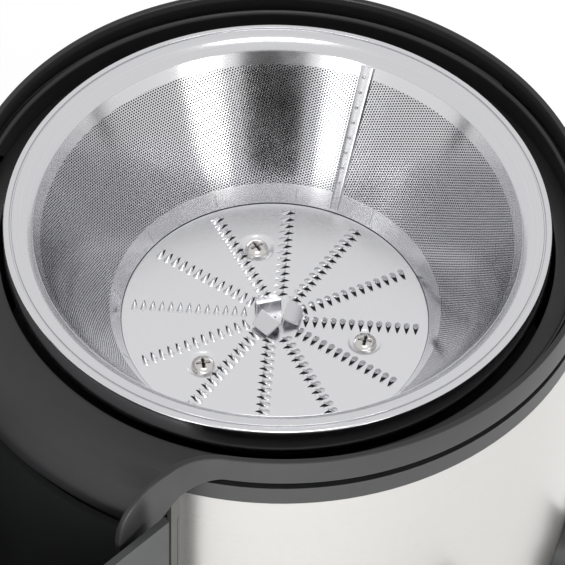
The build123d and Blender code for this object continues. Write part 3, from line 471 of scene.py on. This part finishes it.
def cone_seam():
    """Lap seam of the cone with a line of spot welds, and short ribs pressed at its foot."""
    grids = [(cone_patch(0.02, 0.99, 1.9, 0.28, SEAM_ANGLE), "capped")]
    for k in range(12):
        middle = SEAM_ANGLE + (k + 0.5) * TURN / 12
        grids.append((cone_patch(0.015, 0.105, 0.28, 0.16, middle, 6), "capped"))
    weld = radians(90 - 31.8)
    for s in np.linspace(0.10, 0.92, 9):
        radius, height = on_slant(s)
        tilt = np.array([[sin(pi / 2 - weld), 0, cos(pi / 2 - weld)], [0, 1, 0],
                         [-cos(pi / 2 - weld), 0, sin(pi / 2 - weld)]])
        spot = dome(0, 0, 0, 0.7, 0.24, 4, 12, tilt) + [radius - 0.25, 0, height + 0.15]
        grids.append((turned_about_z(spot, SEAM_ANGLE + 0.6 / CONE_MIDDLE_R), "closed"))
    put_together("filter_basket_seam", grids, "basket", sheet_steel)


# ---- Cutting disc -------------------------------------------------------------------
DISC_TOP = BASKET_TOP - 46.1
DISC_R = 48.3
SCREW_R = 29.7
SCREW_TURNS = np.radians([70.6, 190.6, 310.6])
SCREW_TWISTS = (0.35, 1.0, 0.1)
ROW_TURNS = np.radians(-4.8 + np.arange(12) * 30.0)
TOOTH_PLACES = 9.8 + 2.88 * np.arange(13)


def disc_plate():
    """Round plate: a height field on rings, flat, with a rounded edge and a shallow dish
    round each screw, depth * cos(quarter turn * distance / reach)."""
    radius = np.concatenate([np.linspace(0.3, 22, 12), np.linspace(22.6, 37, 40),
                             np.linspace(38, DISC_R - 0.5, 6), [DISC_R - 0.2, DISC_R - 0.03, DISC_R]])
    angle = np.linspace(0, TURN, 360, endpoint=False)
    x, y = radius[:, None] * np.cos(angle), radius[:, None] * np.sin(angle)
    top = np.full(x.shape, DISC_TOP)
    top[-2], top[-1] = DISC_TOP - 0.05, DISC_TOP - 0.2
    for turn in SCREW_TURNS:
        away = np.hypot(x - SCREW_R * np.cos(turn), y - SCREW_R * np.sin(turn)) / 5.4
        top -= 0.85 * np.clip(1 - away ** 2, 0, 1) ** 0.6 * (away < 1)
    upper = np.stack([x, y, top], axis=2)
    lower = upper[[-1, 0]].copy()
    lower[:, :, 2] = DISC_TOP - 1.2
    return np.concatenate([upper, lower])


def tooth_shell():
    """One punched tooth that points along +X: s runs from its round heel to its tip. Half
    width swells as a quarter circle and then runs straight to the point; the ridge climbs
    as s to the power 1.6 and the edges follow it late, so the heel closes on the plate."""
    s = np.linspace(0.0, 1.0, 9)
    width = np.where(s < 0.34, np.sqrt(np.clip(1 - (1 - s / 0.34) ** 2, 0.0004, 1)),
                     np.clip((1 - s) / 0.66, 0.012, 1) ** 0.95) * 1.12
    ridge = 0.30 * np.sin(np.clip(s / 0.5, 0, 1) * pi / 2) + 1.55 * s ** 1.9
    edge = np.clip(ridge - 0.42, -0.1, None) * np.clip((s - 0.36) * 3, 0, 1) - 0.04
    t = np.linspace(-1, 1, 7)
    x = (-1.35 + 3.5 * s)[:, None] + 0 * t
    y = width[:, None] * t
    over = edge[:, None] + (ridge - edge)[:, None] * (1 - np.abs(t) ** 1.5)
    under = over - 0.22
    upper, lower = np.stack([x, y, over], axis=2), np.stack([x, y, under], axis=2)[:, ::-1]
    return np.concatenate([upper, lower], axis=1).transpose(1, 0, 2)


def tooth_opening_shade():
    """Painted shade for the opening under a tooth: a leaf that runs forward to a point, 0.04 above the
    plate.
    """
    s = np.linspace(0, 1, 7)
    half = 1.06 * np.clip(1 - s, 0.01, 1) ** 0.75 * np.clip(s * 9, 0.05, 1) ** 0.5
    x = -0.35 + 3.75 * s
    outline = np.concatenate([np.stack([x, half], axis=1), np.stack([x, -half], axis=1)[::-1]])
    low = np.concatenate([outline, np.full((len(outline), 1), -0.2)], axis=1)
    high = np.concatenate([outline, np.full((len(outline), 1), 0.03)], axis=1)
    return np.stack([low, high], axis=1)


def tooth_places():
    """(angle, radius) of every tooth: twelve rows, leaving out those under a screw's head."""
    angle, radius = np.meshgrid(ROW_TURNS, TOOTH_PLACES, indexing="ij")
    angle, radius = angle.ravel(), radius.ravel()
    x, y = radius * np.cos(angle), radius * np.sin(angle)
    free = np.ones(len(x), bool)
    for turn in SCREW_TURNS:
        free &= np.hypot(x - SCREW_R * np.cos(turn), y - SCREW_R * np.sin(turn)) > 5.2
    return list(zip(angle[free], radius[free]))


def on_disc(block, angle, radius):
    """Puts a tooth's grid at its place, its point facing clockwise seen from above."""
    facing = turned_about_z(block, -pi / 2) + [radius, 0, DISC_TOP]
    return turned_about_z(facing, angle)


def folded_blade():
    """One folded tab, 0.8 thick: a short steep face, a sharp fold, and a long face that falls
    to a free edge. The section is a bent strip; the free edge is drawn in at its corners."""
    top = np.array([(-2.3, -0.3), (-1.5, 4.2), (3.6, 1.5)])
    under = np.array([(3.3, 0.9), (-0.9, 3.1), (-1.5, -0.3)])
    section = rounded(np.concatenate([top, under]), [0.1, 0.35, 0.15, 0.1, 0.25, 0.1], 4)
    width = np.array([-4.0, -3.85, 3.85, 4.0])
    pull = np.array([0.94, 1.0, 1.0, 0.94])
    middle = section.mean(axis=0)
    block = middle + (section - middle)[:, None, :] * pull[None, :, None]
    y = np.broadcast_to(width, block.shape[:2]) * (1 - 0.05 * np.clip(block[:, :, 0], 0, 4))
    return np.stack([block[:, :, 0], y, block[:, :, 1]], axis=2)


def cutting_disc():
    """Plate, punched teeth, the painted shade in their openings and the folded blades in the middle."""
    put_together("cutting_disc_plate", [(disc_plate(), "closed")], "basket", disc_steel,
                 ["cutting_disc"], 40)
    places = tooth_places()
    shell, hole = tooth_shell(), tooth_opening_shade()
    put_together("cutting_disc_teeth", [(on_disc(shell, a, r), "capped") for a, r in places],
                 "basket", tooth_steel, (), 50)
    # Painted shade: near-black leaves laid over the teeth's openings.
    put_together("cutting_disc_opening_shade", [(on_disc(hole, a, r), "capped") for a, r in places],
                 "basket", hole_shade, (), 30)
    blade = folded_blade() + [4.6, 1.2, DISC_TOP]
    blades = [(turned_about_z(blade, turn), "capped") for turn in np.radians([-46.0, 74.0, 194.0])]
    put_together("cutting_disc_blades", blades, "basket", tooth_steel, (), 24)


def disc_screws():
    """Pan heads: a flattened dome on rings, with a cross cut by two narrow troughs whose
    depth fades out towards the rim, and a rounded skirt."""
    t = np.concatenate([np.linspace(0.02, 0.92, 20), [0.97, 1.0, 1.0, 0.02]])
    angle = np.linspace(0, TURN, 64, endpoint=False)
    radius = 3.5 * t[:, None]
    x, y = radius * np.cos(angle), radius * np.sin(angle)
    height = (1.55 - 1.05 * t ** 3.2)[:, None] + 0 * angle
    arms = np.minimum(np.abs(x), np.abs(y)) / 0.46
    trough = np.clip(1.35 - arms, 0, 1) * np.clip((2.25 - radius) / 0.35, 0, 1)
    height = height - 1.1 * trough
    height[-2:] = -0.9
    head = np.stack([x, y, height], axis=2)
    grids = []
    for turn, twist in zip(SCREW_TURNS, SCREW_TWISTS):
        seat = turned_about_z(head, twist) + [SCREW_R, 0, DISC_TOP - 0.45]
        grids.append((turned_about_z(seat, turn), "closed"))
    put_together("disc_screw_heads", grids, "basket", screw_steel,
                 ["disc_screws"], 45)
    # Painted shade: near-black bars set into each cross recess, for the shade at its bottom.
    arm = np.array([(-2.05, -0.36), (2.05, -0.36), (2.05, 0.36), (-2.05, 0.36)])
    crosses = []
    for turn, twist in zip(SCREW_TURNS, SCREW_TWISTS):
        for quarter in (0, pi / 2):
            ring = np.concatenate([arm, np.zeros((4, 1))], axis=1)
            bar = np.stack([ring + [0, 0, 0.25], ring + [0, 0, 0.62]], axis=1)
            bar = turned_about_z(bar, twist + quarter) + [SCREW_R, 0, DISC_TOP - 0.45]
            crosses.append((turned_about_z(bar, turn), "capped"))
    put_together("disc_screw_recess_shade", crosses, "basket", hole_shade, (), 30)


# ---- Juice bowl ---------------------------------------------------------------------
RIM_R = 97.9
FLANGE_CORNER = np.array([-68.4, 70.0])
FLANGE_END = np.array([-112.0, 78.3])
FLANGE_TIP_X = -97.4
FLANGE_BLEND = 18.0
LIP_END = radians(137.0)


def rim_path():
    """Plan of the rim band: a circle that turns through a reversed arc into two straight,
    slightly splayed sides. Gives points and outward normals."""
    along = (FLANGE_END - FLANGE_CORNER) / np.linalg.norm(FLANGE_END - FLANGE_CORNER)
    outward = np.array([along[1], -along[0]])
    outward *= np.sign(outward[1])
    base = FLANGE_CORNER + outward * FLANGE_BLEND
    reach = RIM_R + FLANGE_BLEND
    middle = -base @ along
    spread = np.sqrt(middle ** 2 + reach ** 2 - base @ base)
    centre = base + along * min((middle - spread, middle + spread), key=abs)
    leave = np.arctan2(centre[1], centre[0])
    circle = np.linspace(0, leave, 150)
    points = [np.stack([RIM_R * np.cos(circle), RIM_R * np.sin(circle)], axis=1)]
    normals = [np.stack([np.cos(circle), np.sin(circle)], axis=1)]
    start, stop = leave + pi, np.arctan2(-outward[1], -outward[0]) % TURN
    turn = np.linspace(start, stop, 16)[1:]
    arm = np.stack([np.cos(turn), np.sin(turn)], axis=1)
    points.append(centre + FLANGE_BLEND * arm)
    normals.append(-arm)
    foot = points[-1][-1]
    far = (FLANGE_TIP_X - foot[0]) / along[0]
    straight = foot + along * np.linspace(0, far, 36)[1:, None]
    points.append(straight)
    normals.append(np.broadcast_to(outward, straight.shape))
    half, facing = np.concatenate(points), np.concatenate(normals)
    mirror = np.array([1.0, -1.0])
    return (np.concatenate([(half * mirror)[:0:-1], half]),
            np.concatenate([(facing * mirror)[:0:-1], facing]))


PATH, PATH_NORMAL = rim_path()
PATH_TURN = np.abs(np.arctan2(PATH[:, 1], PATH[:, 0]))


def band_heights(x):
    """Upper and lower edge of the rim band over X: level, then the upper edge follows an arc
    of radius 17 down and the lower edge falls in a slope towards the flange's tip."""
    z = BASKET_TOP
    bend = np.clip((-80.4 - x) / 17.0, 0, 1)
    upper = z + 2.4 - 17.0 * (1 - np.sqrt(1 - bend ** 2 * 0.999))
    lower = np.interp(-x, [-200, 63.0, 69.6, 76.0, 84.0, 96.4, 97.4],
                      [z - 6.0, z - 6.0, z - 7.8, z - 10.6, z - 15.6, z - 21.4, z - 20.4])
    return upper, lower


def swept(section, keep, tops, feet):
    """A closed section of (offset from the rim's outer face, share, extra height) carried
    along the rim's plan. share 1 hangs from the upper height, share 0 stands on the lower."""
    offset, share, extra = (np.asarray(section, float)[:, k][:, None] for k in range(3))
    point, normal = PATH[keep], PATH_NORMAL[keep]
    x = point[:, 0] + offset * normal[:, 0]
    y = point[:, 1] + offset * normal[:, 1]
    z = share * tops[keep] + (1 - share) * feet[keep] + extra
    return np.stack([x, y, z], axis=2)


def rim_band():
    """Rim band: 2 thick, leaning out by 1 towards its foot, all four edges rounded."""
    top = [(-0.62, 1, -0.9), (-0.66, 1, -0.35), (-0.9, 1, -0.08), (-1.3, 1, 0), (-2.0, 1, 0),
           (-2.3, 1, -0.08), (-2.5, 1, -0.35), (-2.52, 1, -0.8)]
    foot = [(-2.2, 0, 0.6), (-2.1, 0, 0.15), (-1.8, 0, 0), (-0.1, 0, 0), (0.2, 0, 0.12),
            (0.34, 0, 0.4), (0.36, 0, 0.8)]
    upper, lower = band_heights(PATH[:, 0])
    return swept(top + foot, slice(None), upper, lower)


def lid_groove():
    """Lip and floor of the lid's groove, 4.5 to 5.7 inside the rim's face: a bevelled ridge
    that follows the rim's plan, and leaves the round shelf where the plan opens."""
    z = BASKET_TOP
    keep = PATH_TURN <= LIP_END
    tops = np.full(len(PATH), z)
    feet = np.interp(np.degrees(PATH_TURN), [0, 126, 129, 180], [z - 13.5, z - 13.5, z - 7.7, z - 7.7])
    section = [(-5.75, 0, 0), (-5.75, 1, -4.6), (-5.65, 1, -4.2), (-5.35, 1, -3.75), (-4.75, 1, -3.35),
               (-4.55, 1, -3.3), (-4.42, 1, -3.45), (-4.38, 1, -3.8), (-4.3, 1, -6.6), (-4.1, 1, -7.0),
               (-1.6, 1, -7.0), (-1.6, 1, -7.6), (-4.4, 1, -7.6), (-4.5, 0, 0)]
    return swept(section, keep, tops, feet)


def wall_reach(turn):
    """Distance from the axis to the inside of the rim band along each direction."""
    inside = PATH - 2.4 * PATH_NORMAL
    half = len(PATH) // 2
    angle = np.arctan2(inside[half:, 1], inside[half:, 0])
    return np.interp(np.abs(turn), angle, np.hypot(inside[half:, 0], inside[half:, 1]), right=400.0)


def smooth_step(value, low, high):
    """0 below low, 1 above high, 3t^2 - 2t^3 between them."""
    t = np.clip((value - low) / (high - low), 0, 1)
    return t * t * (3 - 2 * t)


def basin():
    """Chamber, shelf and pulp chute in one spun surface. In front the shelf ends at radius
    92.7 and drops; in the mouth it runs on as a slope to the drop edge at radius 106, and
    rises in a cove of radius 7 where it meets the side flanges."""
    z = BASKET_TOP
    turn = np.linspace(-pi, pi, 480, endpoint=False)
    mouth = smooth_step(np.abs(turn), radians(136.9), radians(137.7))
    count = 30
    share = np.linspace(0, 1, count)[:, None]
    start = 86.0
    wall = wall_reach(turn)
    end = np.minimum(106.0, wall + 1.2)
    out_r = start + (end - start) * share
    slope = z - np.interp(out_r, [84, 86, 92.2, 95.0, 98.0, 101.0, 104.0, 105.4, 106.0],
                          [10.2, 10.3, 11.2, 12.0, 13.9, 17.0, 21.0, 23.2, 24.8])
    gap = np.clip((wall - out_r) * 0.80, 0, 9.0)
    cove = 9.0 - np.sqrt(np.clip(81.0 - (9.0 - gap) ** 2, 0, None))
    out_z = slope + cove * smooth_step(np.abs(turn), radians(136.9), radians(139.0))
    front_r = np.interp(share, [0, 0.5, 0.56, 1], [start, 92.3, 92.7, 92.7]) + 0 * turn
    front_z = np.interp(share, [0, 0.5, 0.56, 1], [z - 10.3, z - 11.2, z - 11.7, z - 17.4]) + 0 * turn
    deck_r = front_r + (out_r - front_r) * mouth
    deck_z = front_z + (out_z - front_z) * mouth
    under = [((92.0, z - 17.5), None), ((90.0, z - 17.5), (100.6, z - 22.6)),
             ((89.0, z - 17.5), (95.0, z - 17.8))]
    under_r, under_z = [], []
    for front, back in under:
        back_r = deck_r[-1] - 0.3 if back is None else np.full(turn.shape, back[0])
        back_z = deck_z[-1] - 2.0 if back is None else np.full(turn.shape, back[1])
        under_r.append(front[0] + (np.minimum(back_r, end - 0.2) - front[0]) * mouth)
        under_z.append(front[1] + (back_z - front[1]) * mouth)
    rest = [(87.6, z - 17.6), (87.6, 172.0), (60.0, 170.0), (17.0, 174.0), (17.0, 168.6), (15.4, 168.6),
            (15.4, 185.8), (17.6, 185.8), (17.6, 177.0), (24.0, 177.0), (60.0, 172.4), (83.4, 174.6),
            (85.0, 175.2), (85.4, 176.8), (85.4, z - 11.1), (85.45, z - 10.6), (85.65, z - 10.35)]
    rest_r = np.array([r for r, _ in rest])[:, None] + 0 * turn
    rest_z = np.array([h for _, h in rest])[:, None] + 0 * turn
    radius = np.concatenate([deck_r, np.array(under_r), rest_r])
    height = np.concatenate([deck_z, np.array(under_z), rest_z])
    return np.stack([radius * np.cos(turn), radius * np.sin(turn), height], axis=2)


def box_block(x0, x1, y0, y1, z0, z1):
    """A plain bar between two corners, as a ring of four points at each end of X."""
    ring = np.array([(y0, z0), (y1, z0), (y1, z1), (y0, z1)], float)
    ring = rounded(ring, 0.6, 3)
    ends = np.array([x0, x1])
    columns = (ends, ring[:, :1], ring[:, 1:])
    return np.stack([np.broadcast_to(c, (len(ring), 2)) for c in columns], axis=2)


def spout_shield():
    """Curved plate that fills the sleeve's notch over the spout, and the duct's four walls."""
    z = BASKET_TOP
    angle = np.linspace(-0.2, 0.2, 13)
    ring = rounded([(96.4, 207.0), (98.25, 207.0), (98.25, z - 6.4), (96.4, z - 6.4)], 0.3, 3)
    plate = np.stack([ring[:, :1] * np.cos(angle), ring[:, :1] * np.sin(angle),
                      ring[:, 1:] + 0 * angle], axis=2)
    walls = [(-17.2, 17.2, 203.6, 206.0), (-17.2, 17.2, 170.0, 174.8),
             (-17.2, -15.2, 170.4, 205.6), (15.2, 17.2, 170.4, 205.6)]
    bars = [box_block(86.5, 96.6, *wall) for wall in walls]
    return [(plate, "capped")] + [(bar, "capped") for bar in bars]


def juice_bowl():
    """The bowl's moulding: band, groove, basin and spout shield."""
    grids = [(rim_band(), "capped"), (lid_groove(), "capped"), (basin(), "closed")]
    put_together("juice_bowl_moulding", grids + spout_shield(), "bowl", bowl_black,
                 ["juice_bowl"], 34)


# ---- Set, light and camera ----------------------------------------------------------
def floor():
    """A wide pale sweep under the machine."""
    mesh = bpy.data.meshes.new("studio_floor")
    edge = 6.0
    mesh.from_pydata([(-edge, -edge, 0), (edge, -edge, 0), (edge, edge, 0), (-edge, edge, 0)],
                     [], [(0, 1, 2, 3)])
    ground = bpy.data.objects.new("studio_floor", mesh)
    bpy.context.scene.collection.objects.link(ground)
    material, _, shader = finish("studio white", (0.94, 0.94, 0.94))
    shader.inputs["Roughness"].default_value = 0.7
    shader.inputs["Emission Color"].default_value = (1, 1, 1, 1)
    shader.inputs["Emission Strength"].default_value = 0.16
    mesh.materials.append(material)


VIEW_TURN = radians(-32.0)      # the viewer's side: turned from -Y about Z


def aside(x, y, z):
    """A place given to the viewer's right, away from the viewer, and up, in metres."""
    c, s = cos(VIEW_TURN), sin(VIEW_TURN)
    return Vector((AXIS_X * MM + x * c - y * s, x * s + y * c, z))


def card(name, place, size, brightness, tint=(1, 1, 1)):
    """A soft box: an area light that faces the basket's mouth."""
    data = bpy.data.lights.new(name, "AREA")
    data.shape, data.size, data.size_y = "RECTANGLE", size[0], size[1]
    data.energy, data.color = brightness, tint
    lamp = bpy.data.objects.new(name, data)
    bpy.context.scene.collection.objects.link(lamp)
    lamp.location = aside(*place)
    target = aside(0, 0, 0.2)
    lamp.rotation_euler = (lamp.location - target).to_track_quat("Z", "Y").to_euler()
    lamp.visible_camera = False


def dark_flag(name, place, size, shade):
    """A dark card out of sight that puts a dark streak in the polished steel."""
    half_x, half_y = size[0] / 2, size[1] / 2
    mesh = bpy.data.meshes.new(name)
    corners = [(-half_x, -half_y, 0), (half_x, -half_y, 0), (half_x, half_y, 0), (-half_x, half_y, 0)]
    mesh.from_pydata(corners, [], [(0, 1, 2, 3)])
    flag = bpy.data.objects.new(name, mesh)
    bpy.context.scene.collection.objects.link(flag)
    flag.location = aside(*place)
    flag.rotation_euler = (flag.location - aside(0, 0, 0.2)).to_track_quat("Z", "Y").to_euler()
    material, _, shader = finish(name + " cloth", (shade, shade, shade))
    shader.inputs["Roughness"].default_value = 1.0
    mesh.materials.append(material)
    flag.visible_camera = False
    flag.visible_shadow = False
    flag.visible_diffuse = False


def light_studio():
    """Pale room, a soft box each side of the viewer, and dark cards that the steel mirrors."""
    world = bpy.data.worlds.new("studio")
    bpy.context.scene.world = world
    world.use_nodes = True
    sky = world.node_tree.nodes["Background"]
    sky.inputs["Color"].default_value = (1.0, 1.0, 1.0, 1.0)
    sky.inputs["Strength"].default_value = 0.82
    card("key_right", (1.12, -1.58, 0.66), (0.42, 0.7), 4.2, (1.0, 0.98, 0.95))
    card("band_left", (-0.85, -1.75, 0.72), (0.34, 0.7), 3.0)
    card("top", (0.1, -0.5, 2.1), (0.7, 0.5), 5.0)
    card("front_low", (0.0, -1.5, 0.28), (1.0, 0.12), 24.0)
    dark_flag("viewer_gap", (0.12, -1.9, 0.75), (0.95, 1.5), 0.02)
    dark_flag("left_gap", (-1.88, -0.24, 0.35), (0.16, 0.9), 0.10)
    dark_flag("right_gap", (1.88, -0.24, 0.35), (0.16, 0.9), 0.10)


CAMERA_AWAY = 1.2
CAMERA_RISE = radians(47.95)
CAMERA_ROLL = 0.0311
AIM_ACROSS, AIM_DOWN = radians(-0.0941), radians(-0.9257)
LENS = 250.37


def set_camera():
    """Long lens aimed a little off the rim's centre from 48 degrees up, rolled slightly."""
    back = np.array([0, -cos(CAMERA_RISE), sin(CAMERA_RISE)])
    right, up = np.array([1.0, 0, 0]), np.array([0, sin(CAMERA_RISE), cos(CAMERA_RISE)])
    place = back * CAMERA_AWAY
    back, up = cos(AIM_DOWN) * back - sin(AIM_DOWN) * up, cos(AIM_DOWN) * up + sin(AIM_DOWN) * back
    back, right = (cos(AIM_ACROSS) * back + sin(AIM_ACROSS) * right,
                   cos(AIM_ACROSS) * right - sin(AIM_ACROSS) * back)
    right, up = (cos(CAMERA_ROLL) * right + sin(CAMERA_ROLL) * up,
                 cos(CAMERA_ROLL) * up - sin(CAMERA_ROLL) * right)
    pose = Matrix((right, up, back)).transposed().to_4x4()
    pose.translation = place
    data = bpy.data.cameras.new("camera")
    data.sensor_width = 36.0
    data.lens = LENS
    data.clip_start, data.clip_end = 0.05, 50.0
    camera = bpy.data.objects.new("camera", data)
    bpy.context.scene.collection.objects.link(camera)
    turn = Matrix.Rotation(VIEW_TURN, 4, "Z")
    camera.matrix_world = Matrix.Translation((AXIS_X * MM, 0, BASKET_TOP * MM)) @ turn @ pose
    bpy.context.scene.camera = camera


dress_frame()
basket_rim()
basket_cone()
cone_seam()
cutting_disc()
disc_screws()
juice_bowl()
floor()
light_studio()
set_camera()
bpy.context.scene.view_settings.view_transform = "Standard"
bpy.context.view_layer.update()
